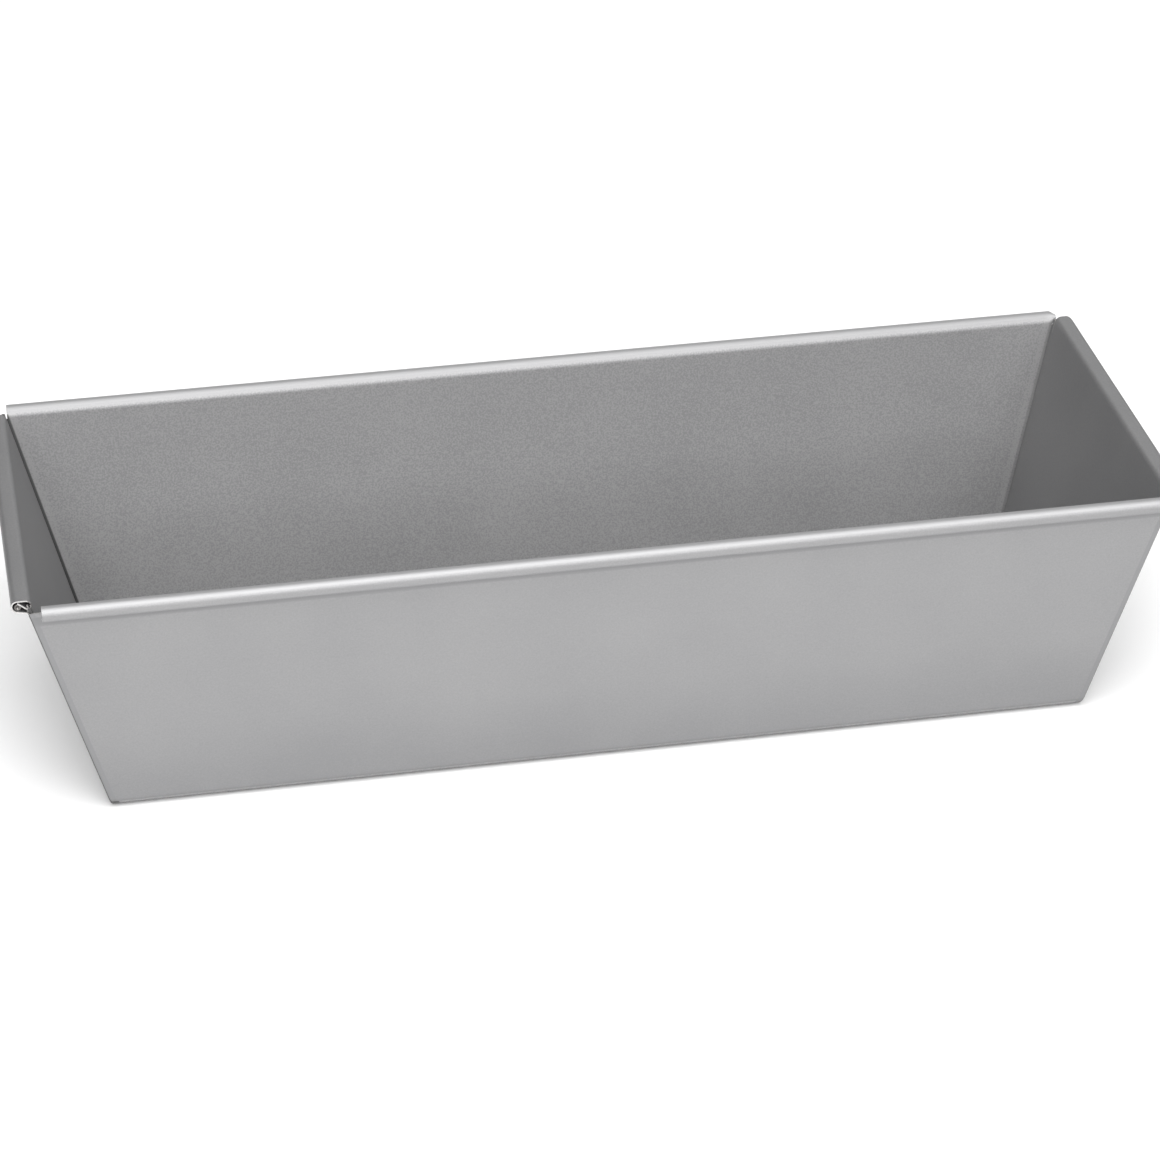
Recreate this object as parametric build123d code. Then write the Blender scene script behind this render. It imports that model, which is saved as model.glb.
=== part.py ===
"""Flared loaf tin, millimetres, +Z up, origin at the middle of the floor's underside.

One bent sheet is the floor and both long walls. Each end is a separate panel that hooks into a folded
seam down both corners and under the floor edge. Every rim is curled outwards over a loose steel wire.
"""

import math
import os

from build123d import *

os.makedirs("parts", exist_ok=True)

# Form of the tin, to the outer faces of the trough sheet
floor_length = 257.2
floor_width = 84.2
rim_length = 293.6
rim_width = 107.3
height = 68.3
floor_bend = 3.0

# Sheet and locked seams
sheet = 0.35
seam_clearance = 0.03
seam_width = 6.0
seam_play = 0.35
seam_corner_radius = 3.0
fold_radius_share = 0.85

# Rolled rims and the notches between them at the corners
long_roll_overhang = 3.5
end_roll_overhang = 3.2
long_roll_height = 3.4
end_roll_height = 4.1
inner_bend = 1.7
front_roll_setback = 4.0
back_roll_setback = 2.9
end_roll_setback = 2.8
roll_seam_gap = 0.15
corner_drop = 2.0
corner_gap = 0.35

# Rim wires
wire_diameter = 1.9
wire_clearance = 0.05
front_wire_proud = 2.5
back_wire_proud = 1.0
end_wire_proud = 0.3

# Room for cutting tools beyond the form, and a fold's turn in degrees
overrun = 5.0
half_turn = 180

# Slopes and leans of the walls
long_slope = (rim_width - floor_width) / 2 / height
end_slope = (rim_length - floor_length) / 2 / height
long_lean = math.atan(long_slope)
end_lean = math.atan(end_slope)

# Depths of the seam's layers, counted inwards from the outer end plane
pitch = sheet + seam_clearance
fold_thickness = 2 * pitch + sheet
plate_depth = 3 * pitch
plate_inner_depth = plate_depth + sheet
fold_radius = fold_radius_share * fold_thickness / 2
corner_bend = fold_radius + pitch

# Rolls: how far each reaches from the middle, and the bend that wraps the wire
front_roll_reach = rim_length / 2 - front_roll_setback
back_roll_reach = rim_length / 2 - back_roll_setback
end_roll_reach = rim_width / 2 - end_roll_setback
outer_bend = wire_diameter / 2 + wire_clearance + sheet

# Heights where the seams and corner posts stop
seam_top = height - end_roll_height - roll_seam_gap
corner_top = height - corner_drop

# The leaning plane of the right end's outer face: local x across the tin, local y up the slope
end_plane = Plane(
    origin=(floor_length / 2, 0, 0),
    x_dir=(0, 1, 0),
    z_dir=(math.cos(end_lean), 0, -math.sin(end_lean)),
)
side_slope = long_slope * math.cos(end_lean)
slope_top = (height + overrun) / math.cos(end_lean)


def long_half(z, inset):
    """Half the width at height z between planes set in by inset from the long walls' outer faces"""
    return floor_width / 2 + z * long_slope - inset / math.cos(long_lean)


def end_half(z, inset):
    """Half the length at height z between planes set in by inset from the ends' outer faces"""
    return floor_length / 2 + z * end_slope - inset / math.cos(end_lean)


def end_edges(body, outward):
    """Edges round the flat end face that looks along outward, without its top edge"""
    facing = body.faces().filter_by(GeomType.PLANE)
    face = facing.sort_by(lambda f: f.normal_at().dot(outward))[-1]
    return face.edges().sort_by(Axis.Z)[:-1]


def channel(inset):
    """Solid between floor and long walls, set in by inset, running past both ends"""
    top = height + overrun
    outline = FilletPolyline(
        (-long_half(top, inset), top),
        (-long_half(inset, inset), inset),
        (long_half(inset, inset), inset),
        (long_half(top, inset), top),
        radius=floor_bend - inset,
    )
    section = make_face([outline, Line(outline @ 1, outline @ 0)])
    return extrude(Plane.YZ * section, amount=floor_length + rim_length, both=True)


def tub(inset):
    """Closed form of the tin with floor, walls and ends set in by inset and the end edges bent round"""
    top = height + overrun
    side = Polyline(
        (-end_half(-overrun, inset), -overrun),
        (end_half(-overrun, inset), -overrun),
        (end_half(top, inset), top),
        (-end_half(top, inset), top),
        close=True,
    )
    body = channel(inset) & extrude(Plane.XZ * make_face(side), amount=rim_width, both=True)
    right = end_plane.z_dir
    left = Vector(-right.X, right.Y, right.Z)
    edges = end_edges(body, right) + end_edges(body, left)
    return fillet(edges, radius=corner_bend - inset)


def end_layer(inset, depth, radius):
    """Right end between planes at inset and depth, set in by inset all round, with its edges folded round"""
    span = rim_length + rim_width
    outside = extrude(end_plane.offset(-depth) * Rectangle(span, span), amount=span)
    capped = channel(inset) & outside
    capped = fillet(end_edges(capped, end_plane.z_dir * -1), radius=radius)
    return tub(inset) & capped


def end_outline(inset, radius):
    """Wire in the end plane: down one side, across the bottom and up, set in from the outline"""
    spread = inset * math.hypot(1, side_slope)
    foot = floor_width / 2 + side_slope * inset - spread
    head = floor_width / 2 + side_slope * slope_top - spread
    return FilletPolyline(
        (-head, slope_top), (-foot, inset), (foot, inset), (head, slope_top), radius=radius
    )


def end_window(inset, radius, depth):
    """Cutter through the end from outside to depth, inside the outline set in by inset"""
    outline = end_outline(inset, radius)
    window = make_face([outline, Line(outline @ 1, outline @ 0)])
    return extrude(end_plane.offset(-depth) * window, amount=depth + overrun)


def below(top):
    """All the room under the height top"""
    span = rim_length + rim_width
    return Pos(0, 0, top - span / 2) * Box(span, span, span)


def below_rims():
    """Room for walls and seams: all below the end rolls, and a post at each corner beyond the rolls"""
    span = rim_length + rim_width
    room = below(seam_top)
    post_x = end_half(seam_top, seam_width)
    post_y = end_roll_reach + corner_gap
    long = span / 2 - post_x
    wide = span / 2 - post_y
    for side_x in (-1, 1):
        for side_y in (-1, 1):
            place = Pos(side_x * (post_x + long / 2), side_y * (post_y + wide / 2), corner_top - span / 2)
            room += place * Box(long, wide, span)
    return room


def curl(wall_half, lean, outer, depth, roll_height):
    """Section of a wired roll, across and up: the sheet's face and the wire's centre.

    The sheet climbs the wall, turns out over the rim, drops down the outer face, comes back in to the
    wall, and its tail climbs again at the slope that just clears the wire, to end over its middle.
    """
    wire_radius = wire_diameter / 2
    start = seam_top - inner_bend
    crown = height - sheet / 2
    skirt = outer - sheet / 2
    base = height - roll_height + sheet / 2
    wire = Vector(outer - outer_bend, height - roll_height + outer_bend)
    nose_radius = sheet
    nose_z = base + nose_radius
    nose_reach = (wire_clearance + nose_radius + sheet / 2) / math.cos(lean)
    nose = Vector(wall_half(nose_z, depth) + nose_reach, nose_z)
    reach = wire - nose
    clear = wire_radius + wire_clearance + sheet / 2
    rise = math.atan2(reach.Y, reach.X) + math.asin((clear - nose_radius) / reach.length)
    heel = Vector(nose.X - nose_radius / math.tan(rise / 2), base)
    room_out = (wire.X - heel.X) / math.cos(rise)
    room_up = (crown - pitch - heel.Y) / math.sin(rise)
    tail = heel + Vector(math.cos(rise), math.sin(rise)) * min(room_out, room_up)
    middle = depth + sheet / 2
    path = FilletPolyline(
        (wall_half(start, middle), start),
        (wall_half(crown, middle), crown),
        (skirt, crown),
        (skirt, base),
        heel,
        tail,
        radius=[inner_bend - sheet / 2, outer_bend - sheet / 2, outer_bend - sheet / 2, nose_radius],
    )
    return trace(path, line_width=sheet), wire


def both_ends(piece):
    """A right end piece and its mirror image at the left end"""
    return piece + mirror(piece, about=Plane.YZ)


def seam_hem():
    """The trough's tab turned back on itself round the edge of the end window"""
    nose = seam_width - fold_thickness / 2
    root = corner_bend + seam_play
    line = Line((root - nose, -sheet / 2), (0, -sheet / 2))
    bend = JernArc(start=line @ 1, tangent=line % 1, radius=pitch, arc_size=-half_turn)
    back = Line(bend @ 1, (root - nose, (bend @ 1).Y))
    strip = trace([line, bend, back], line_width=sheet)
    path = end_plane * end_outline(nose, seam_corner_radius + fold_thickness / 2)
    along = path % 0
    section = Plane(origin=path @ 0, x_dir=end_plane.z_dir.cross(along), z_dir=along)
    return sweep((section * strip).face(), path=path)


def trough():
    """Floor and long walls in one sheet, with both long rolls and the outer half of each seam"""
    lap = (seam_width + corner_bend) / 2
    shell = tub(0) - tub(sheet)
    shell -= both_ends(end_window(lap, seam_corner_radius, pitch + sheet))
    body = (shell & below_rims()) + (both_ends(seam_hem()) & below(seam_top))
    outer = rim_width / 2 + long_roll_overhang
    section, wire = curl(long_half, long_lean, outer, 0, long_roll_height)
    roll = Plane.YZ * section
    body += extrude(roll, amount=back_roll_reach, both=True)
    body += mirror(extrude(roll, amount=front_roll_reach, both=True), about=Plane.XZ)
    return body, wire


def end_panel():
    """Right end: a plate inside the seam, a flange hooked round the trough's hem, and its roll"""
    folded = end_layer(pitch, plate_inner_depth, fold_radius)
    hollow = end_layer(pitch + sheet, plate_depth, fold_radius - sheet)
    flange_inset = seam_width - sheet - seam_play
    middle = pitch + sheet + pitch / 2
    panel = folded - hollow - end_window(flange_inset, seam_corner_radius, middle)
    panel = panel & below_rims()
    outer = rim_length / 2 + end_roll_overhang
    section, wire = curl(end_half, end_lean, outer, plate_depth, end_roll_height)
    panel += extrude(Plane.XZ * section, amount=end_roll_reach, both=True)
    return panel, wire


def rim_wire(plane, centre, reach):
    """Straight wire square to plane through centre"""
    return extrude(plane * Pos(centre.X, centre.Y) * Circle(wire_diameter / 2), amount=reach, both=True)


trough_sheet, long_wire_centre = trough()
right_panel, end_wire_centre = end_panel()
back_wire = rim_wire(Plane.YZ, long_wire_centre, back_roll_reach + back_wire_proud)
front_wire = mirror(
    rim_wire(Plane.YZ, long_wire_centre, front_roll_reach + front_wire_proud), about=Plane.XZ
)
right_wire = rim_wire(Plane.XZ, end_wire_centre, end_roll_reach + end_wire_proud)

pieces = {
    "trough": trough_sheet,
    "right_end_panel": right_panel,
    "left_end_panel": mirror(right_panel, about=Plane.YZ),
    "front_rim_wire": front_wire,
    "back_rim_wire": back_wire,
    "right_rim_wire": right_wire,
    "left_rim_wire": mirror(right_wire, about=Plane.YZ),
}

for name, piece in pieces.items():
    export_step(piece, f"parts/{name}.step")
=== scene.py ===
"""Looks of a flared loaf tin: bent sheet with folded seams at both ends and wired rims all round.

Sizes are in millimetres and meshes in metres. +X runs along the tin, +Y from its front wall to its back
wall and +Z up, with the origin at the middle of the floor's underside. Every sheet is a surface through
the middle of its thickness, worked out on a grid, which is then given the sheet's thickness.
"""

import logging
import math
from dataclasses import dataclass, field, replace
from enum import Enum
from typing import Iterable, Sequence

import bmesh
import bpy
import numpy as np
from mathutils import Matrix, Vector


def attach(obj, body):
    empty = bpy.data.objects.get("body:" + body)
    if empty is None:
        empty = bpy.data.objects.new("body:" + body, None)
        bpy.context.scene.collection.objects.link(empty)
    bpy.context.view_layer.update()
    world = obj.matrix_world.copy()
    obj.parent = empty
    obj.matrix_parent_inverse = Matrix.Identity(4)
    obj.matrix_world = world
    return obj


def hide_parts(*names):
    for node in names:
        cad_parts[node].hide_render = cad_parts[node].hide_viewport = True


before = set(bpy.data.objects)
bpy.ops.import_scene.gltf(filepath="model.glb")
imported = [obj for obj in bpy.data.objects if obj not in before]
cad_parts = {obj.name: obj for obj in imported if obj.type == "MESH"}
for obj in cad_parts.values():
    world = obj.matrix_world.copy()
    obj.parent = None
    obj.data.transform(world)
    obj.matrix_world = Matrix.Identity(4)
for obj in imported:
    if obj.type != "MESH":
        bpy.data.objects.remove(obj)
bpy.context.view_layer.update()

LOG = logging.getLogger("loaf_tin")
MM = 0.001
WELD_DISTANCE = 1e-6
LEAST_SHARE_STEP = 0.01
SHARP_TURN = math.radians(35)


class End(Enum):
    """The two ends of the tin, by the sign of X."""

    LEFT = -1
    RIGHT = 1


class Long(Enum):
    """The two long walls, by the sign of Y."""

    FRONT = -1
    BACK = 1


# Curves and grids


def unit(vectors: np.ndarray) -> np.ndarray:
    """Vectors divided by their lengths."""
    return vectors / np.linalg.norm(vectors, axis=-1, keepdims=True)


def turned(start: np.ndarray, end: np.ndarray, shares: np.ndarray) -> np.ndarray:
    """Directions on the way from one direction to another.

    With a the angle between both, the direction at share t is
    (start * sin((1 - t) a) + end * sin(t a)) / sin(a), which turns at an even rate.

    Args:
        start: Unit vectors, one per point of a line, (n, 3).
        end: Unit vectors to turn to, (n, 3) or (3,).
        shares: How far to turn, from 0 to 1, (k,).

    Returns:
        Unit vectors, (k, n, 3).
    """
    end = np.broadcast_to(end, start.shape)
    angle = np.arccos(np.clip((start * end).sum(-1), -1, 1))[None, :, None]
    share = shares[:, None, None]
    return (np.sin((1 - share) * angle) * start + np.sin(share * angle) * end) / np.sin(angle)


def rounded_path(corners: np.ndarray, radii: Sequence[float], arc_steps: int, run_steps: int) -> np.ndarray:
    """Points along a polyline whose inner corners are rounded.

    A corner with turn a and radius r is cut back by r * tan(a / 2) on both runs, and an arc of radius r
    joins the cuts. The arc's centre lies r / cos(a / 2) from the corner, towards the inside of the turn.

    Args:
        corners: The polyline's points, (n, 2).
        radii: A radius for each inner corner, n - 2 in all.
        arc_steps: Steps along each arc.
        run_steps: Steps along each straight run.

    Returns:
        The points from the first corner to the last, (m, 2).
    """
    ways = unit(np.diff(corners, axis=0))
    run, arc = np.linspace(0, 1, run_steps + 1)[:, None], np.linspace(0, 1, arc_steps + 1)
    stretches = []
    start = corners[0]
    for corner, before, after, radius in zip(corners[1:-1], ways[:-1], ways[1:], radii):
        turn = math.acos(float(np.clip(before @ after, -1, 1)))
        cut = radius * math.tan(turn / 2)
        centre = corner + unit(after - before) * radius / math.cos(turn / 2)
        enter, leave = corner - before * cut, corner + after * cut
        spokes = turned(unit(enter - centre)[None], unit(leave - centre), arc)[:, 0]
        stretches += [start + (enter - start) * run[:-1], (centre + spokes * radius)[:-1]]
        start = leave
    stretches.append(start + (corners[-1] - start) * run)
    return np.concatenate(stretches)


def all_cells(grid: np.ndarray) -> np.ndarray:
    """A mask that keeps every cell of a grid."""
    return np.ones((grid.shape[0] - 1, grid.shape[1] - 1), bool)


@dataclass
class Skin:
    """Grids of points that are welded into one open surface."""

    grids: list[np.ndarray] = field(default_factory=list)
    masks: list[np.ndarray] = field(default_factory=list)

    def add(self, grid: np.ndarray, keep: np.ndarray | None = None) -> None:
        """Adds a grid.

        Args:
            grid: Points, (a, b, 3).
            keep: Which of its (a - 1, b - 1) cells are there, or None for all.
        """
        self.grids.append(grid)
        self.masks.append(all_cells(grid) if keep is None else keep)

    def mirrored(self) -> "Skin":
        """The same skin reflected from the right end to the left."""
        flip = np.array([-1.0, 1.0, 1.0])
        return Skin([grid[::-1] * flip for grid in self.grids], [mask[::-1] for mask in self.masks])

    def points(self) -> np.ndarray:
        """All points of all grids, (n, 3)."""
        return np.concatenate([grid.reshape(-1, 3) for grid in self.grids])

    def faces(self) -> np.ndarray:
        """Cells that are there.

        Returns:
            Numbers of each cell's four points in points(), (m, 4).
        """
        found, first = [], 0
        for grid, mask in zip(self.grids, self.masks):
            rows, columns = grid.shape[:2]
            number = first + np.arange(rows * columns).reshape(rows, columns)
            cells = np.stack([number[:-1, :-1], number[:-1, 1:], number[1:, 1:], number[1:, :-1]], axis=-1)
            found.append(cells[mask])
            first += rows * columns
        return np.concatenate(found)


def mesh_from(name: str, skin: Skin) -> bpy.types.Mesh:
    """A mesh whose doubled points are merged and whose loose points are gone.

    Args:
        name: Name of the mesh.
        skin: Its surface, in millimetres.

    Returns:
        The mesh, with all its faces turned one way.
    """
    mesh = bpy.data.meshes.new(name)
    mesh.from_pydata(skin.points() * MM, [], skin.faces().tolist())
    work = bmesh.new()
    work.from_mesh(mesh)
    bmesh.ops.delete(work, geom=[v for v in work.verts if not v.link_faces], context="VERTS")
    bmesh.ops.remove_doubles(work, verts=work.verts, dist=WELD_DISTANCE)
    bmesh.ops.recalc_face_normals(work, faces=work.faces)
    work.to_mesh(mesh)
    work.free()
    return mesh


def added(name: str, data: bpy.types.ID, materials: Iterable[bpy.types.Material] = ()) -> bpy.types.Object:
    """A new object in the scene, at the origin.

    Args:
        name: Name of the object.
        data: Its mesh, light or camera.
        materials: Materials that its mesh gets, in the order of their slots.

    Returns:
        The object.
    """
    made = bpy.data.objects.new(name, data)
    bpy.context.scene.collection.objects.link(made)
    for material in materials:
        data.materials.append(material)
    return made


def smoothed(mesh: bpy.types.Mesh) -> bpy.types.Mesh:
    """Smooths a mesh's faces up to its sharp edges.

    Args:
        mesh: The mesh to change.

    Returns:
        The same mesh.
    """
    mesh.shade_smooth()
    mesh.set_sharp_from_angle(angle=SHARP_TURN)
    return mesh


def sheet_piece(
    name: str, skin: Skin, thickness: float, coated: bpy.types.Material, cut: bpy.types.Material
) -> bpy.types.Object:
    """Sheet metal with its skin in the middle of its thickness and its cut edges bare.

    Args:
        name: Name of the piece.
        skin: The open surface, in millimetres.
        thickness: Of the sheet, in millimetres.
        coated: Material of both faces.
        cut: Material of the cut edges.

    Returns:
        The piece, with its thickness in its mesh.
    """
    thin = added(name + "_skin", mesh_from(name + "_skin", skin), (coated, cut))
    thick = thin.modifiers.new("thickness", "SOLIDIFY")
    thick.thickness = thickness * MM
    thick.offset = 0
    thick.use_even_offset = True
    thick.use_quality_normals = True
    thick.material_offset_rim = 1
    shown = bpy.context.evaluated_depsgraph_get()
    mesh = bpy.data.meshes.new_from_object(thin.evaluated_get(shown))
    mesh.name = name
    bpy.data.objects.remove(thin)
    return added(name, smoothed(mesh))


# The tin's sizes


@dataclass(frozen=True)
class Splits:
    """How finely the grids are split."""

    floor: int = 22
    bend: int = 10
    wall: int = 22
    post: int = 2
    fold: int = 8
    tab: int = 3
    web: int = 60
    arc: int = 9
    run: int = 2


@dataclass(frozen=True)
class RollForm:
    """Section of a rolled rim, in millimetres.

    The overhang and the height give its reach, the bends are its outer radii from the wall to its foot, and
    the foot climbs outwards by the foot slope.
    """

    overhang: float
    height: float
    inner_bend: float
    crown_bend: float
    foot_bend: float
    foot_slope: float = 0.0


@dataclass(frozen=True)
class Taper:
    """How a roll closes at its farther end: where, how far, and towards which point, in millimetres."""

    reaches: tuple
    shares: tuple
    pivot: tuple

    def extend(self, along: np.ndarray, sections: np.ndarray) -> tuple:
        """Roll with its taper, where each added section is pivot + share * (last section - pivot).

        Args:
            along: Places of the sections, rising or falling, (k,).
            sections: Points across and up, (n, k, 2).

        Returns:
            Places and sections with the taper's at the greater end.
        """
        rising = along[0] < along[-1]
        if not rising:
            along, sections = along[::-1], sections[:, ::-1]
        tip = self.pivot + (sections[:, -1:] - self.pivot) * np.array(self.shares)[:, None]
        along, sections = np.append(along, self.reaches), np.concatenate([sections, tip], axis=1)
        return (along, sections) if rising else (along[::-1], sections[:, ::-1])


def carried(line: np.ndarray, along: np.ndarray, taper: Taper | None) -> np.ndarray:
    """Grid of a roll: its section carried straight along the rim.

    Args:
        line: The section's points, across and up, (n, 2).
        along: Where the grid's lines cross the rim, (k,).
        taper: How its farther end closes, or None.

    Returns:
        Points as along, across and up, (n, m, 3).
    """
    sections = np.broadcast_to(line[:, None, :], (len(line), len(along), 2))
    if taper:
        along, sections = taper.extend(along, sections)
    return np.dstack([np.broadcast_to(along, sections.shape[:2]), sections])


@dataclass(frozen=True)
class TinForm:
    """Sizes that all pieces share, in millimetres, to the outer faces of the trough sheet."""

    floor_length: float = 257.2
    floor_width: float = 84.2
    rim_length: float = 293.6
    rim_width: float = 107.3
    height: float = 68.3
    floor_bend: float = 4.0
    sheet: float = 0.35
    seam_clearance: float = 0.03
    seam_width: float = 6.0
    seam_play: float = 0.35
    seam_corner_radius: float = 3.0
    fold_radius_share: float = 0.85
    front_roll: RollForm = RollForm(3.5, 3.3, inner_bend=1.9, crown_bend=1.75, foot_bend=0.65)
    back_roll: RollForm = RollForm(3.5, 3.4, inner_bend=2.6, crown_bend=1.15, foot_bend=1.35)
    end_roll: RollForm = RollForm(
        3.2, 4.1, inner_bend=1.5, crown_bend=1.55, foot_bend=1.65, foot_slope=0.33)
    front_roll_setback: float = 4.0
    back_roll_setback: float = 2.4
    end_roll_setback: float = 2.8
    roll_seam_gap: float = 0.15
    corner_drop: float = 2.6
    corner_gap: float = 0.35
    wire_diameter: float = 1.9
    wire_clearance: float = 0.05
    splits: Splits = Splits()

    @property
    def long_lean(self) -> float:
        """Lean of the long walls from upright, in radians."""
        return math.atan((self.rim_width - self.floor_width) / 2 / self.height)

    @property
    def end_lean(self) -> float:
        """Lean of the ends from upright, in radians."""
        return math.atan((self.rim_length - self.floor_length) / 2 / self.height)

    @property
    def side_lean(self) -> float:
        """Lean of a long wall's edge within the plane of an end, in radians."""
        return math.atan(math.tan(self.long_lean) * math.cos(self.end_lean))

    @property
    def pitch(self) -> float:
        """Distance from one layer of a seam to the next."""
        return self.sheet + self.seam_clearance

    @property
    def fold_thickness(self) -> float:
        """Thickness of one folded edge with a layer held in it."""
        return 2 * self.pitch + self.sheet

    @property
    def fold_radius(self) -> float:
        """Outer radius of the end panel's folded edge."""
        return self.fold_radius_share * self.fold_thickness / 2

    @property
    def corner_bend(self) -> float:
        """Outer radius of the trough's bend round the end's edges."""
        return self.fold_radius + self.pitch

    @property
    def hem_inset(self) -> float:
        """How far the hem's fold line lies in from the tin's outline."""
        return self.seam_width - self.fold_thickness / 2

    @property
    def hem_corner_radius(self) -> float:
        """Radius of the hem's fold line at the end's lower corners."""
        return self.seam_corner_radius + self.fold_thickness / 2

    @property
    def plate_middle(self) -> float:
        """Depth of the middle of the end's plate, inwards from the outer end plane."""
        return 3 * self.pitch + self.sheet / 2

    @property
    def seam_top(self) -> float:
        """Height where the seams stop, just under the end rolls."""
        return self.height - self.end_roll.height - self.roll_seam_gap

    @property
    def corner_top(self) -> float:
        """Height where the sheets stop at the four corners, beside the end rolls."""
        return self.height - self.corner_drop

    @property
    def end_roll_reach(self) -> float:
        """How far an end roll reaches from the middle."""
        return self.rim_width / 2 - self.end_roll_setback

    @property
    def end_normal(self) -> np.ndarray:
        """Direction that the right end faces outwards."""
        return np.array([math.cos(self.end_lean), 0.0, -math.sin(self.end_lean)])

    def long_roll(self, wall: Long) -> RollForm:
        """Section of a long wall's roll."""
        return self.front_roll if wall is Long.FRONT else self.back_roll

    def foot_height(self, across: float, outer: float, roll: RollForm) -> float:
        """Height of the middle of a roll's foot sheet at a distance across."""
        climb = roll.foot_slope * (across - outer + roll.overhang)
        return self.height - roll.height + self.sheet / 2 + climb

    def wire_place(self, outer: float, roll: RollForm) -> np.ndarray:
        """Where the wire rests on a roll's foot.

        Args:
            outer: Distance of the roll's outer face from the middle.
            roll: Form of the roll.

        Returns:
            The wire's centre, across and up, (2,).
        """
        clear = (self.wire_diameter + self.sheet) / 2 + self.wire_clearance
        across = outer - max(roll.foot_bend, clear + self.sheet / 2)
        foot = self.foot_height(across, outer, roll)
        return np.array([across, foot + clear * math.hypot(1, roll.foot_slope)])

    def roll_reach(self, wall: Long) -> float:
        """How far a long wall's roll reaches from the middle."""
        setback = self.front_roll_setback if wall is Long.FRONT else self.back_roll_setback
        return self.rim_length / 2 - setback

    def end_half(self, height: np.ndarray | float, inset: float) -> np.ndarray | float:
        """Half the length at a height, between planes set in from the outer end planes."""
        return self.floor_length / 2 + height * math.tan(self.end_lean) - inset / math.cos(self.end_lean)

    def long_half(self, height: float, inset: float) -> float:
        """Half the width at a height, between planes set in from the long walls' outer faces."""
        return self.floor_width / 2 + height * math.tan(self.long_lean) - inset / math.cos(self.long_lean)

    def post_inset(self) -> float:
        """How far the corner posts reach in from the tin's outline, within the end's plane."""
        across = self.long_half(self.corner_top, 0) - self.end_roll_reach - self.corner_gap
        return across * math.cos(self.side_lean)

    def floor_shares(self) -> np.ndarray:
        """Where grid lines cross half the floor.

        Returns:
            Shares of its width: even ones, the end roll's cut and the post's edge.
        """
        widest = self.long_half(self.seam_top, self.pitch + self.fold_radius)
        marks = [self.end_roll_reach / widest, (self.end_roll_reach + self.corner_gap) / widest]
        even = np.linspace(0, 1, self.splits.floor + 1)
        return np.unique(np.concatenate([even[even < marks[0] - LEAST_SHARE_STEP], marks, [1.0]]))

    def half_outline(self, lean: float, inset: float, radius: float, tops: Sequence[float]) -> tuple:
        """Half of a U-shaped outline and its normals, from the middle of the floor up one wall.

        The floor line lies at the inset. On the wall line, which leans outwards,
        y * cos(lean) - z * sin(lean) is foot * cos(lean) - inset. An arc about the point that lies radius
        inside both joins them.

        Args:
            lean: Lean of the wall line from upright.
            inset: How far both lines are set in.
            radius: Of the arc.
            tops: Heights of the seam's top and of the corner's top in the outline's own plane.

        Returns:
            Points and normals, both (n, 2).
        """
        sine, cosine = math.sin(lean), math.cos(lean)
        foot = self.floor_width / 2 * cosine
        centre = np.array([(foot - inset - radius + (inset + radius) * sine) / cosine, inset + radius])
        floor = np.outer(self.floor_shares(), [centre[0], 0]) + [0, inset]
        angles = np.linspace(-math.pi / 2, -lean, self.splits.bend + 1)[1:]
        spokes = np.stack([np.cos(angles), np.sin(angles)], axis=-1)
        lowest = centre[1] - radius * sine
        rows = np.concatenate([
            np.linspace(lowest, tops[0], self.splits.wall + 1)[1:],
            np.linspace(tops[0], tops[1], self.splits.post + 1)[1:],
        ])
        wall = np.stack([(foot - inset + rows * sine) / cosine, rows], axis=-1)
        normals = np.concatenate([
            np.broadcast_to([0.0, -1.0], floor.shape), spokes, np.broadcast_to([cosine, -sine], wall.shape),
        ])
        return np.concatenate([floor, centre + spokes * radius, wall]), normals

    def both_halves(self, half: np.ndarray) -> np.ndarray:
        """A half outline and its mirror image, from the front wall's top to the back wall's."""
        return np.concatenate([(half * [-1, 1])[:0:-1], half])

    def section(self) -> tuple:
        """Outline of the trough across the tin, to its outer face.

        Returns:
            Points and outward normals, both (u, 3).
        """
        tops = (self.seam_top, self.corner_top)
        half, facing = self.half_outline(self.long_lean, 0, self.floor_bend, tops)
        points, normals = self.both_halves(half), self.both_halves(facing)
        flat = np.zeros((len(points), 1))
        return np.hstack([flat, points]), np.hstack([flat, normals])

    def end_line(self, inset: float, radius: float, depth: float) -> np.ndarray:
        """U-shaped line in a plane inside the right end's outer plane.

        Args:
            inset: How far it is set in from the end's outline.
            radius: Of its lower corners.
            depth: Of its plane, inwards.

        Returns:
            Points, (u, 3).
        """
        tops = (self.seam_top / math.cos(self.end_lean), self.corner_top / math.cos(self.end_lean))
        half, _ = self.half_outline(self.side_lean, inset, radius, tops)
        across, up = self.both_halves(half).T
        origin = np.array([self.floor_length / 2, 0.0, 0.0])
        slope = np.array([math.sin(self.end_lean), 0.0, math.cos(self.end_lean)])
        return origin + np.outer(across, [0, 1, 0]) + np.outer(up, slope) - depth * self.end_normal

    def ball_line(self, inset: float, depth: float) -> np.ndarray:
        """Centres of a ball that rolls along the right end's edge.

        Args:
            inset: How far they lie inside the trough's outer face.
            depth: How far they lie inside the end's outer plane.

        Returns:
            Points, (u, 3).
        """
        points, normals = self.section()
        centres = points - inset * normals
        centres[:, 0] = self.end_half(centres[:, 2], depth)
        return centres

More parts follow.
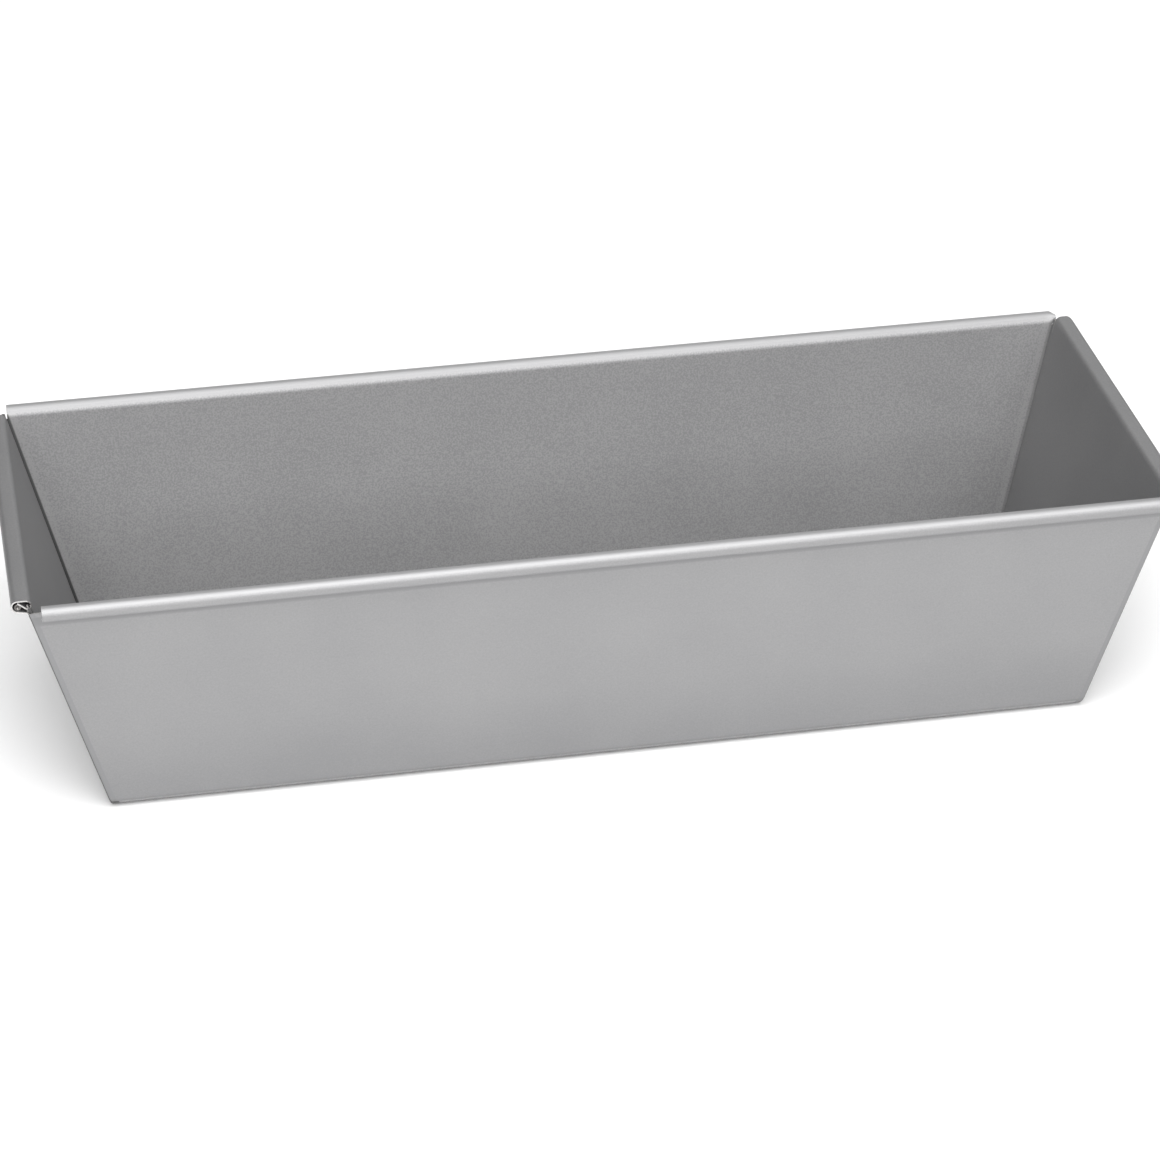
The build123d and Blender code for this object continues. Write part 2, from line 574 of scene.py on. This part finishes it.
    def curl(
        self, start: Sequence[float], foot: float, lean: float, inset: float, outer: float, roll: RollForm
    ) -> np.ndarray:
        """Section of a wired roll, across and up.

        The sheet climbs the wall, turns out over the rim, drops down the outer face, comes back in to the
        wall, and its tail climbs again at the slope that just clears the wire, to end over its middle.

        Args:
            start: Where the line begins on the wall.
            foot: Distance of the wall's outer face from the middle at height zero.
            lean: Lean of the wall.
            inset: Depth of the sheet's outer face behind the wall's outer face.
            outer: Distance of the roll's outer face from the middle.
            roll: Form of the roll.

        Returns:
            Points, (n, 2).
        """
        def wall(height: float, depth: float) -> float:
            """Distance of the wall from the middle at a height, behind its outer face."""
            return foot + height * math.tan(lean) - depth / math.cos(lean)

        half = self.sheet / 2
        crown, skirt, base = self.height - half, outer - half, self.height - roll.height + half
        corner = (skirt, self.foot_height(skirt, outer, roll))
        wire = self.wire_place(outer, roll)
        nose_radius = self.sheet
        nose_reach = (self.wire_clearance + nose_radius + half) / math.cos(lean)
        nose = np.array([wall(base + nose_radius, inset) + nose_reach, base + nose_radius])
        clear = self.wire_diameter / 2 + self.wire_clearance + half
        across, up = wire - nose
        rise = math.atan2(up, across) + math.asin((clear - nose_radius) / math.hypot(across, up))
        heel = np.array([nose[0] - nose_radius / math.tan(rise / 2), base])
        way = np.array([math.cos(rise), math.sin(rise)])
        room_out = (wire[0] - heel[0]) / way[0]
        room_up = (crown - self.pitch - heel[1]) / way[1]
        tail = heel + way * min(room_out, room_up)
        corners = np.array([
            start, (wall(crown, inset + half), crown), (skirt, crown), corner, heel, tail,
        ])
        radii = (roll.inner_bend - half, roll.crown_bend - half, roll.foot_bend - half, nose_radius)
        return rounded_path(corners, radii, self.splits.arc, self.splits.run)


# Pieces


@dataclass(frozen=True)
class Trough:
    """Floor and long walls in one sheet, with both long rolls and the outer half of each seam."""

    form: TinForm
    node: str = "trough"
    back_tip: Taper = Taper(reaches=(144.8, 145.3, 145.7), shares=(0.75, 0.42, 0.15), pivot=(53.6, 67.9))

    def hem(self) -> np.ndarray:
        """Lines from the free edge of the hem to its fold into the tab, at the right end.

        The hem is a half circle of one pitch about the fold line, with a flat layer behind it.

        Returns:
            Points, (s, u, 3).
        """
        form = self.form
        nose, radius = form.hem_inset, form.hem_corner_radius
        root = form.corner_bend + form.seam_play
        back = [
            form.end_line(inset, radius + nose - inset, form.sheet / 2 + 2 * form.pitch)
            for inset in np.linspace(root, nose, form.splits.tab + 1)
        ]
        bend = [
            form.end_line(
                nose + form.pitch * math.sin(angle),
                radius - form.pitch * math.sin(angle),
                form.sheet / 2 + form.pitch * (1 + math.cos(angle)),
            )
            for angle in np.linspace(0, math.pi, form.splits.fold + 1)[1:]
        ]
        return np.array(back + bend)

    def tab(self) -> np.ndarray:
        """Lines across the flat tab, from its fold out to the edge of the corner posts.

        Returns:
            Points, (s, u, 3).
        """
        form = self.form
        ends = (form.corner_bend, form.hem_inset)
        radii = (form.floor_bend - form.corner_bend, form.hem_corner_radius)
        insets = np.linspace(form.hem_inset, form.post_inset(), form.splits.tab + 1)[1:]
        return np.array([
            form.end_line(inset, np.interp(inset, ends, radii), form.sheet / 2) for inset in insets
        ])

    def skin(self) -> Skin:
        """The whole trough.

        Returns:
            A grid for seams, bends and web, and one for each roll.
        """
        form, splits = self.form, self.form.splits
        points, normals = form.section()
        centres = form.ball_line(form.corner_bend, form.corner_bend)
        shares = np.linspace(0, 1, splits.fold + 1)
        arms = turned(normals, form.end_normal, shares)[::-1]
        bend = centres + (form.corner_bend - form.sheet / 2) * arms
        hem, tab = self.hem(), self.tab()
        seam = np.concatenate([hem, tab, bend])
        reaches = [form.roll_reach(wall) / centres[0, 0] for wall in Long]
        even = np.linspace(0, 1, splits.web // 2 + 1)
        even = even[even < min(reaches) - LEAST_SHARE_STEP]
        marks = np.unique(np.concatenate([even, reaches, [1.0]]))
        columns = np.concatenate([marks[:0:-1], -marks])
        web = points - form.sheet / 2 * normals
        web = np.broadcast_to(web, (len(columns), *web.shape)).copy()
        web[:, :, 0] = np.outer(columns, centres[:, 0])
        grid = np.concatenate([seam, web[1:-1], seam[::-1] * [-1, 1, 1]])
        keep = all_cells(grid)
        low = len(hem) + len(tab) - 1
        for rows in (slice(None, low), slice(len(keep) - low, None)):
            keep[rows, :splits.post] = keep[rows, -splits.post:] = False
        skin = Skin()
        skin.add(grid, keep)
        for wall in Long:
            skin.add(self.roll(wall, web[:, -1]))
        return skin

    def roll(self, wall: Long, row: np.ndarray) -> np.ndarray:
        """Grid of one long roll: its section carried along the tin.

        Args:
            wall: Which long wall it tops.
            row: The web's points at the top of the back wall, (k, 3).

        Returns:
            Points, (n, k, 3).
        """
        form = self.form
        roll = form.long_roll(wall)
        outer = form.rim_width / 2 + roll.overhang
        line = form.curl(row[0, 1:], form.floor_width / 2, form.long_lean, 0, outer, roll)
        along = row[np.abs(row[:, 0]) < form.roll_reach(wall) + form.seam_clearance, 0]
        return carried(line, along, self.back_tip if wall is Long.BACK else None) * [1, wall.value, 1]


@dataclass(frozen=True)
class EndPanel:
    """An end: a plate inside the seam, a flange hooked round the trough's hem, and its roll."""

    form: TinForm
    end: End
    far_tip: Taper = Taper(reaches=(51.5, 52.1, 52.5), shares=(0.97, 0.88, 0.70), pivot=(148.0, 67.6))

    @property
    def node(self) -> str:
        """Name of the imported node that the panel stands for."""
        return f"{self.end.name.lower()}_end_panel"

    def skin(self) -> Skin:
        """The whole end panel.

        Returns:
            A grid for fold and flange, one for plate and corner posts, and one for the roll.
        """
        form, splits = self.form, self.form.splits
        _, normals = form.section()
        inset = form.pitch + form.fold_radius
        arm = form.fold_radius - form.sheet / 2
        shares = np.linspace(0, 1, splits.fold + 1)
        deep = form.plate_middle + form.sheet / 2 - form.fold_radius
        inner = form.ball_line(inset, deep) + arm * turned(
            np.broadcast_to(-form.end_normal, normals.shape), normals, shares)
        outer = form.ball_line(inset, inset) + arm * turned(normals, form.end_normal, shares)
        edge = form.seam_width - form.sheet - form.seam_play
        post = form.post_inset()
        radii = (form.floor_bend - inset, form.seam_corner_radius)
        flange = np.array([
            form.end_line(line, np.interp(line, (inset, edge), radii), form.pitch + form.sheet / 2)
            for line in (post, (post + edge) / 2, edge)
        ])
        grid = np.concatenate([inner, outer, flange])
        keep = all_cells(grid)
        low = len(inner) + len(outer)
        keep[low:, :splits.post] = keep[low:, -splits.post:] = False
        skin = Skin()
        skin.add(grid, keep)
        plate, rows = self.plate(inner[0])
        skin.add(plate, rows)
        skin.add(self.roll(plate[-1 - splits.post]))
        return skin if self.end is End.RIGHT else skin.mirrored()

    def plate(self, edge: np.ndarray) -> tuple:
        """Grid of the flat plate between both sides of its folded edge.

        Each row runs straight from a point of the front side to its mirror image at the back, and is split
        in the same shares as the floor's line, which is the lowest row.

        Args:
            edge: Line where the plate meets its fold, (u, 3).

        Returns:
            Points, (rows, columns, 3), and which cells are there.
        """
        form = self.form
        half = form.floor_shares()
        shares = np.concatenate([-half[:0:-1], half])
        side = edge[len(edge) // 2 + len(half) - 1:]
        grid = np.repeat(side[:, None, :], len(shares), axis=1)
        grid[:, :, 1] = np.outer(side[:, 1], shares)
        keep = all_cells(grid)
        keep[-form.splits.post:, 1:-1] = False
        return grid, keep

    def roll(self, row: np.ndarray) -> np.ndarray:
        """Grid of the end's roll: its section carried across the tin, from a row of the plate.

        Args:
            row: The plate's points at the height of the seam's top, (k, 3). The first and last two lie
                beyond the roll.

        Returns:
            Points, (n, m, 3).
        """
        form = self.form
        row = row[2:-2]
        start = row[0, [0, 2]]
        outer = form.rim_length / 2 + form.end_roll.overhang
        line = form.curl(start, form.floor_length / 2, form.end_lean, 3 * form.pitch, outer, form.end_roll)
        grid = carried(line, row[:, 1], self.far_tip if self.end is End.RIGHT else None)
        return grid[..., [1, 0, 2]]


@dataclass(frozen=True)
class RimWire:
    """A straight drawn wire inside a roll, sheared at both ends."""

    form: TinForm
    side: Long | End
    setback: float = 0.6
    sides: int = 28
    pieces: int = 40
    shear_round: float = 0.18
    dimple_radius: float = 0.62
    dimple_depth: float = 0.30
    rings: int = 5

    @property
    def node(self) -> str:
        """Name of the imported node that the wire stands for."""
        return f"{self.side.name.lower()}_rim_wire"

    def mesh(self) -> bpy.types.Mesh:
        """Round bar whose sheared ends have a rounded edge and a shallow dimple.

        Each ring is a circle of the wire's radius. Towards an end the radius follows a quarter circle of
        the rounding, and inside it the face sinks by depth * cos(pi / 2 * r / R)^2 at the radius r, where R
        is the dimple's radius.

        Returns:
            The closed mesh.
        """
        form = self.form
        x, y, z = np.eye(3)
        if isinstance(self.side, Long):
            roll, rim, reach = form.long_roll(self.side), form.rim_width / 2, form.roll_reach(self.side)
            way, aside = x, y
        else:
            roll, rim, reach = form.end_roll, form.rim_length / 2, form.end_roll_reach
            way, aside = y, x
        across, up = form.wire_place(rim + roll.overhang, roll)
        middle = self.side.value * across * aside + up * z
        half, radius = reach - self.setback, form.wire_diameter / 2
        bowl = np.linspace(0, self.dimple_radius, self.rings)
        sunk = self.dimple_depth * np.cos(math.pi / 2 * bowl / self.dimple_radius) ** 2
        quarter = np.linspace(0, math.pi / 2, self.rings)
        depths = np.concatenate([sunk, self.shear_round * (1 - np.cos(quarter))])
        widths = np.concatenate([bowl, radius - self.shear_round * (1 - np.sin(quarter))])
        body = np.linspace(-half + self.shear_round, half - self.shear_round, self.pieces + 1)[1:-1]
        places = np.concatenate([depths - half, body, half - depths[::-1]])
        radii = np.concatenate([widths, np.full(len(body), radius), widths[::-1]])
        angles = np.linspace(0, 2 * math.pi, self.sides + 1)
        spokes = np.outer(np.cos(angles), aside) + np.outer(np.sin(angles), z)
        skin = Skin()
        skin.add(middle + places[:, None, None] * way + radii[:, None, None] * spokes)
        return smoothed(mesh_from(self.node + "_bar", skin))


# Materials


@dataclass(frozen=True)
class Signal:
    """One output of a node, with arithmetic that adds Math nodes."""

    bench: "MaterialBench"
    socket: bpy.types.NodeSocket

    def maths(self, operation: str, *values: "float | Signal", clamp: bool = False) -> "Signal":
        """The result of a Math node on the given values."""
        settings = {"operation": operation, "use_clamp": clamp}
        return self.bench.node("ShaderNodeMath", settings, dict(enumerate(values)))[0]

    def __add__(self, other: "float | Signal") -> "Signal":
        """Sum."""
        return self.maths("ADD", self, other)

    def __radd__(self, other: float) -> "Signal":
        """Sum with a number on the left."""
        return self.maths("ADD", other, self)

    def __sub__(self, other: "float | Signal") -> "Signal":
        """Difference."""
        return self.maths("SUBTRACT", self, other)

    def __rsub__(self, other: float) -> "Signal":
        """Difference from a number on the left."""
        return self.maths("SUBTRACT", other, self)

    def __mul__(self, other: "float | Signal") -> "Signal":
        """Product."""
        return self.maths("MULTIPLY", self, other)

    def __rmul__(self, other: float) -> "Signal":
        """Product with a number on the left."""
        return self.maths("MULTIPLY", other, self)

    def size(self) -> "Signal":
        """The value without its sign."""
        return self.maths("ABSOLUTE", self)

    def above(self, edge: float, fade: float) -> "Signal":
        """0 where the value is under the edge, rising to 1 over the fade."""
        return ((self - edge) * (1 / fade)).within()

    def below(self, edge: float, fade: float) -> "Signal":
        """1 where the value is under the edge, falling to 0 over the fade."""
        return 1 - self.above(edge, fade)

    def within(self) -> "Signal":
        """The value held between 0 and 1."""
        return self.maths("ADD", self, 0.0, clamp=True)


class MaterialBench:
    """A material's node tree, to which nodes are added with their settings and sockets."""

    def __init__(self, name: str) -> None:
        """Makes an empty material.

        Args:
            name: Its name.
        """
        self.material = bpy.data.materials.new(name)
        self.material.use_nodes = True
        self.tree = self.material.node_tree
        self.tree.nodes.clear()

    def node(self, kind: str, settings: dict | None = None, sockets: dict | None = None) -> list[Signal]:
        """Adds a node.

        Args:
            kind: The node's type.
            settings: Its properties, set first.
            sockets: Values or signals, by the socket's name or number.

        Returns:
            A signal for each of its outputs.
        """
        made = self.tree.nodes.new(kind)
        for name, value in (settings or {}).items():
            setattr(made, name, value)
        for name, value in (sockets or {}).items():
            if isinstance(value, Signal):
                self.tree.links.new(value.socket, made.inputs[name])
            else:
                made.inputs[name].default_value = value
        return [Signal(self, socket) for socket in made.outputs]

    def place(self) -> Signal:
        """Object coordinates, in metres."""
        return self.node("ShaderNodeTexCoord")[3]

    def facing(self) -> Signal:
        """The surface's outward direction, along the object's axes."""
        return self.node("ShaderNodeTexCoord")[1]

    def parts(self, vector: Signal) -> list[Signal]:
        """A vector's three parts."""
        return self.node("ShaderNodeSeparateXYZ", None, {"Vector": vector})

    def grain(self, size: float, detail: float) -> Signal:
        """Noise about 0.5.

        Args:
            size: Of its lumps, in millimetres.
            detail: How much finer noise is in it.

        Returns:
            The noise.
        """
        scale = (1 / (size * MM),) * 3
        point = self.node("ShaderNodeMapping", None, {"Vector": self.place(), "Scale": scale})[0]
        return self.node("ShaderNodeTexNoise", None, {"Vector": point, "Scale": 1.0, "Detail": detail})[0]

    def blend(self, share: Signal, low: tuple | Signal, high: tuple | Signal) -> Signal:
        """A colour between two.

        Args:
            share: 0 for the low colour, 1 for the high one.
            low: A colour, or a signal with one.
            high: The same.

        Returns:
            The colour.
        """
        settings = {"data_type": "RGBA", "blend_type": "MIX"}
        low, high = (end if isinstance(end, Signal) else (*end, 1.0) for end in (low, high))
        return self.node("ShaderNodeMix", settings, {0: share, 6: low, 7: high})[2]

    def finish(self, sockets: dict) -> bpy.types.Material:
        """Ends the tree in a Principled shader.

        Args:
            sockets: The shader's values or signals, by name.

        Returns:
            The material.
        """
        shader = self.node("ShaderNodeBsdfPrincipled", None, sockets)[0]
        self.node("ShaderNodeOutputMaterial", None, {"Surface": shader})
        return self.material


@dataclass(frozen=True)
class SheetPlace:
    """Where a point lies on the tin's sheets: distances in millimetres, and masks from 0 to 1.

    A gap is the distance inwards from an outer plane: half + z * tan(lean) - |x| for an end, and the same
    with |y| for a long wall. What lies outside a long wall, such as its roll, counts as its outer face.
    Down is the downward part of the face's normal.
    """

    x: Signal
    z: Signal
    down: Signal
    end_gap: Signal
    long_wall: Signal
    outer_face: Signal
    inner_face: Signal
    under_roll: Signal


@dataclass(frozen=True)
class BakeCoating:
    """Satin silver-grey coating with metal flake, cured on the sheet.

    Its colour also carries painted highlight, sheen, bounce light, shade and shadow.

    Sizes, reaches and places are in millimetres, the edges between a wall's faces in sheet thicknesses, and
    the foot's turn is the downward part of its normal.
    """

    name: str = "silver_bake_coating"
    dark: tuple = (0.275, 0.275, 0.280)
    light: tuple = (0.345, 0.343, 0.345)
    metallic: float = 0.85
    roughness: float = 0.56
    fleck_roughness: float = 0.10
    mottle_roughness: float = 0.06
    bump: float = 0.10
    bump_depth: float = 0.03
    fleck_size: float = 0.45
    fleck_contrast: float = 1.1
    inner_fleck_contrast: float = 3.1
    mottle_size: float = 26.0
    mottle_share: float = 0.6
    base_share: float = 0.2
    outer_edge: float = 0.4
    outer_fade: float = 0.2
    inner_edge: float = 1.5
    inner_fade: float = 0.3
    edge_fade: float = 0.35
    # Painted highlight: a paler strip on the inner face beside the seam.
    strip_reach: float = 3.8
    strip_fade: float = 0.7
    strip_share: float = 0.45
    band_reach: float = 1.5
    band_share: float = 0.9
    # Painted shade: the outer face darker towards its foot.
    low_wall_from: float = 8.0
    low_wall_fade: float = 17.0
    low_wall_share: float = 0.3
    # Painted bounce light: lighter copies of the coating's colours, low on the inner faces.
    low_dark: tuple = (0.37, 0.37, 0.375)
    low_light: tuple = (0.465, 0.463, 0.465)
    low_from: float = 10.0
    low_fade: float = 50.0
    # Painted sheen: a paler colour on the crowns of the long rolls.
    rubbed: tuple = (0.45, 0.45, 0.455)
    crown_from: float = 67.5
    crown_fade: float = 0.7
    # Painted shade: the colour and reach of the shade in the seam's crevice, fainter at the right end.
    crease: tuple = (0.10, 0.10, 0.10)
    crease_reach: float = 2.15
    right_crease_share: float = 0.3
    # Painted shadow: a darker band on the outer face just under the long rolls.
    under_from: float = 61.4
    under_fade: float = 1.0
    under_to: float = 64.2
    under_share: float = 0.14
    # Painted shade: the bend that turns down to the floor, darker where it faces down.
    foot_turn: float = 0.22
    foot_turn_fade: float = 0.5
    foot_to: float = 3.5
    foot_fade: float = 1.0
    foot_share: float = 0.45

    def place(self, bench: MaterialBench, form: TinForm) -> SheetPlace:
        """Reads where a point lies from the material's Object coordinates and normals.

        Args:
            bench: The material's node tree.
            form: The tin's sizes.

        Returns:
            The place, as signals.
        """
        x, y, z = (part * (1 / MM) for part in bench.parts(bench.place()))
        end_gap = z * math.tan(form.end_lean) + form.floor_length / 2 - x.size()
        wall_gap = z * math.tan(form.long_lean) + form.floor_width / 2 - y.size()
        long_wall = wall_gap.below(self.inner_edge * form.sheet, self.inner_fade * form.sheet)
        outer_face = wall_gap.below(self.outer_edge * form.sheet, self.outer_fade * form.sheet)
        # The band just under the long rolls, which carries painted shadow.
        under_roll = z.above(self.under_from, self.under_fade) * z.below(self.under_to, self.edge_fade)
        down = 0 - bench.parts(bench.facing())[2]
        return SheetPlace(
            x, z, down, end_gap, long_wall, outer_face, long_wall - outer_face, outer_face * under_roll)

    def tone(self, at: SheetPlace, fleck: Signal, mottle: Signal) -> Signal:
        """Share of the way from the coating's dark to its light colour.

        Flecks and mottling move it a little, the flecks more on a long wall's inner face, where a painted
        highlight makes a strip beside the seam paler. The outer face is darker in a band along the seam,
        and painted shade makes it darker towards its foot and a painted shadow darker just under its roll.

        Args:
            at: The place on the sheets.
            fleck: Fine noise about 0.5.
            mottle: Broad noise about 0.5.

        Returns:
            The share, from 0 to 1.
        """
        # Painted highlight on the inner face beside the seam.
        seam_sheen = at.inner_face * at.end_gap.below(self.strip_reach, self.strip_fade)
        band = at.outer_face * at.end_gap.below(self.band_reach, self.edge_fade)
        # Painted shade on the outer face towards its foot.
        low_wall_shade = at.outer_face * at.z.below(self.low_wall_from, self.low_wall_fade)
        flecks = (fleck - 0.5) * (self.fleck_contrast + self.inner_fleck_contrast * at.inner_face)
        speckle = flecks + self.mottle_share * mottle + self.base_share
        # Painted highlight beside the seam, less the band along the seam and the painted shade towards the
        # foot.
        marks = self.strip_share * seam_sheen - self.band_share * band - self.low_wall_share * low_wall_shade
        # Painted shadow just under the long rolls.
        return (speckle + marks - at.under_roll).within()

    def shade(self, at: SheetPlace) -> Signal:
        """Share of the painted shade colour.

        It is full as painted shade in the crevice line along the seam of a long wall's inner face, fainter
        at the right end, and slight as a painted shadow under the long rolls and as painted shade on the
        bend that turns down to the floor.

        Args:
            at: The place on the sheets.

        Returns:
            The share, from 0 to 1.
        """
        # Painted shade in the seam's crevice, fainter at the right end.
        strength = 1 - (1 - self.right_crease_share) * at.x.above(0, self.edge_fade)
        line = at.inner_face * at.end_gap.below(self.crease_reach, self.edge_fade) * strength
        # Painted shade on the bend that turns down to the floor.
        foot = at.down.above(self.foot_turn, self.foot_turn_fade) * at.z.below(self.foot_to, self.foot_fade)
        # Painted shadow under the long rolls is added to the painted shade.
        return (line + self.under_share * at.under_roll + self.foot_share * foot).within()

    def material(self, form: TinForm) -> bpy.types.Material:
        """The coating, with painted bounce light low down on the long walls' inner faces and a painted
        sheen on the crowns of their rolls.

        Args:
            form: The tin's sizes.

        Returns:
            The material.
        """
        bench = MaterialBench(self.name)
        at = self.place(bench, form)
        fleck = bench.grain(self.fleck_size, detail=1.0)
        mottle = bench.grain(self.mottle_size, detail=2.0)
        tone = self.tone(at, fleck, mottle)
        # Painted bounce light: the inner faces lighter low down.
        low = at.inner_face * at.z.below(self.low_from, self.low_fade)
        # Painted sheen on the crowns of the long rolls, blended in below.
        crown = at.long_wall * at.z.above(self.crown_from, self.crown_fade)
        plain = bench.blend(tone, self.dark, self.light)
        plain = bench.blend(low, plain, bench.blend(tone, self.low_dark, self.low_light))
        plain = bench.blend(crown, plain, self.rubbed)
        relief = {"Strength": self.bump, "Distance": self.bump_depth * MM, "Height": fleck}
        uneven = self.fleck_roughness * (fleck - 0.5) + self.mottle_roughness * (mottle - 0.5)
        return bench.finish({
            # Painted shade in the seam's crevice, under the rolls and on the foot bend.
            "Base Color": bench.blend(self.shade(at), plain, self.crease),
            "Metallic": self.metallic,
            "Roughness": self.roughness + uneven,
            "Normal": bench.node("ShaderNodeBump", None, relief)[0],
        })


@dataclass(frozen=True)
class BareSteel:
    """Bare steel with a fine grain, for cut edges and wire."""

    name: str
    dark: tuple
    light: tuple
    roughness: float
    grain_size: float
    grain_roughness: float = 0.2

    def material(self) -> bpy.types.Material:
        """Steel whose grain moves its colour and roughness.

        Returns:
            The material.
        """
        bench = MaterialBench(self.name)
        grain = bench.grain(self.grain_size, detail=3.0)
        return bench.finish({
            "Base Color": bench.blend(grain, self.dark, self.light),
            "Metallic": 1.0,
            "Roughness": self.roughness + self.grain_roughness * (grain - 0.5),
        })


@dataclass(frozen=True)
class Sweep:
    """White matt studio floor."""

    name: str = "white_sweep"
    white: tuple = (0.93, 0.93, 0.93)
    off_white: tuple = (0.90, 0.90, 0.90)
    patch_size: float = 400.0
    roughness: float = 0.9
    specular: float = 0.1

    def material(self) -> bpy.types.Material:
        """White with a broad faint variation.

        Returns:
            The material.
        """
        bench = MaterialBench(self.name)
        return bench.finish({
            "Base Color": bench.blend(bench.grain(self.patch_size, detail=1.0), self.off_white, self.white),
            "Roughness": self.roughness,
            "Specular IOR Level": self.specular,
        })


# Studio


@dataclass(frozen=True)
class Viewpoint:
    """The photograph's camera. Angles are in degrees, lengths in millimetres, the image in pixels."""

    azimuth: float = -10.076
    elevation: float = 29.533
    roll: float = -0.6193
    distance: float = 1125.8
    aside: float = 0.8897
    above: float = 25.748
    focal_pixels: float = 4176.77
    image_pixels: float = 1160.0
    sensor: float = 36.0
    sight: float = 50000.0

    def camera(self) -> None:
        """Makes the camera and gives it to the scene."""
        azimuth, elevation, roll = (math.radians(v) for v in (self.azimuth, self.elevation, self.roll))
        flat = math.cos(elevation)
        back = Vector((math.sin(azimuth) * flat, -math.cos(azimuth) * flat, math.sin(elevation)))
        level = Vector((math.cos(azimuth), math.sin(azimuth), 0))
        upright = back.cross(level)
        right = level * math.cos(roll) + upright * math.sin(roll)
        up = upright * math.cos(roll) - level * math.sin(roll)
        eye = back * self.distance + right * self.aside + up * self.above
        data = bpy.data.cameras.new("viewpoint")
        data.sensor_width = self.sensor
        data.lens = self.sensor * self.focal_pixels / self.image_pixels
        data.clip_end = self.sight * MM
        camera = added("viewpoint", data)
        camera.matrix_world = Matrix.Translation(eye * MM) @ Matrix((right, up, back)).transposed().to_4x4()
        bpy.context.scene.camera = camera


@dataclass(frozen=True)
class SoftBox:
    """An area light that faces a point above the tin's floor. Lengths are in metres."""

    name: str
    place: tuple
    width: float
    height: float
    watts: float
    aim: tuple = (0.0, 0.0, 0.03)

    def light(self) -> None:
        """Makes the light."""
        data = bpy.data.lights.new(self.name, "AREA")
        data.shape = "RECTANGLE"
        data.size = self.width
        data.size_y = self.height
        data.energy = self.watts
        made = added(self.name, data)
        made.location = self.place
        made.rotation_mode = "QUATERNION"
        made.rotation_quaternion = (Vector(self.aim) - Vector(self.place)).to_track_quat("-Z", "Y")


@dataclass(frozen=True)
class Studio:
    """Pale floor, soft light and camera."""

    viewpoint: Viewpoint = Viewpoint()
    sweep: Sweep = Sweep()
    floor_reach: float = 6000.0
    floor_lines: int = 9
    world_strength: float = 0.16
    boxes: tuple = (
        SoftBox("front_box", (0.0, -1.45, 1.45), 2.2, 2.2, 58.0),
        SoftBox("overhead_box", (0.0, 0.0, 1.6), 1.6, 1.6, 15.0),
        SoftBox("low_front_box", (0.0, -2.0, 0.8), 2.4, 1.2, 12.5),
        SoftBox("left_box", (-1.6, -0.3, 1.2), 1.6, 1.6, 5.0),
        SoftBox("back_box", (0.8, 1.7, 0.85), 2.0, 1.0, 3.5),
    )

    def floor(self) -> None:
        """Makes the flat floor that the tin stands on."""
        line = np.linspace(-self.floor_reach, self.floor_reach, self.floor_lines)
        across, along = np.meshgrid(line, line, indexing="ij")
        skin = Skin()
        skin.add(np.stack([across, along, np.zeros_like(across)], axis=-1))
        mesh = smoothed(mesh_from("studio_floor", skin))
        floor = added("studio_floor", mesh, [self.sweep.material()])

    def build(self) -> None:
        """Makes floor, world, lights and camera."""
        world = bpy.data.worlds.new("studio_world")
        world.use_nodes = True
        sky = world.node_tree.nodes["Background"]
        sky.inputs["Color"].default_value = (1.0, 1.0, 1.0, 1.0)
        sky.inputs["Strength"].default_value = self.world_strength
        bpy.context.scene.world = world
        bpy.context.scene.view_settings.view_transform = "Standard"
        self.floor()
        for box in self.boxes:
            box.light()
        self.viewpoint.camera()


@dataclass(frozen=True)
class LoafTin:
    """The whole tin: a trough, two end panels and four rim wires.

    The end panels stop higher at the corners than the trough does.
    """

    form: TinForm = TinForm()
    panel_corner_drop: float = 1.1
    coating: BakeCoating = BakeCoating()
    cut_edge: BareSteel = BareSteel(
        "cut_steel_edge", (0.42, 0.41, 0.40), (0.72, 0.71, 0.70), roughness=0.38, grain_size=0.35)
    # Dark drawn steel: the wire shows only at its sheared ends in the rolls' mouths, where its dark colour
    # is partly painted shade of the hollow round it.
    drawn_wire: BareSteel = BareSteel(
        "drawn_steel_wire", (0.13, 0.125, 0.12), (0.26, 0.25, 0.24), roughness=0.42, grain_size=0.25)

    def build(self) -> None:
        """Makes each piece, seats it in the frame and logs it."""
        coated = self.coating.material(self.form)
        cut, wire = self.cut_edge.material(), self.drawn_wire.material()
        higher = replace(self.form, corner_drop=self.panel_corner_drop)
        for bent in (Trough(self.form), *(EndPanel(higher, end) for end in End)):
            made = sheet_piece(bent.node + "_sheet", bent.skin(), self.form.sheet, coated, cut)
            self.seat(made, bent.node)
        for side in (*Long, *End):
            bar = RimWire(self.form, side)
            self.seat(added(bar.node + "_bar", bar.mesh(), [wire]), bar.node)

    def seat(self, piece: bpy.types.Object, node: str) -> None:
        """Puts a piece on the tin's body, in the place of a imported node, and logs it.

        Args:
            piece: The piece.
            node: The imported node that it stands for.
        """
        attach(piece, "root")
        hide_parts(node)
        points = np.array([vertex.co for vertex in piece.data.vertices]) / MM
        low, high = points.min(0).round(2), points.max(0).round(2)
        LOG.info("%s: %d faces, %s to %s mm", piece.name, len(piece.data.polygons), low, high)


def main() -> None:
    """Builds the studio and the tin."""
    logging.basicConfig(level=logging.INFO, format="%(name)s: %(message)s")
    Studio().build()
    LoafTin().build()


if __name__ == "__main__":
    main()
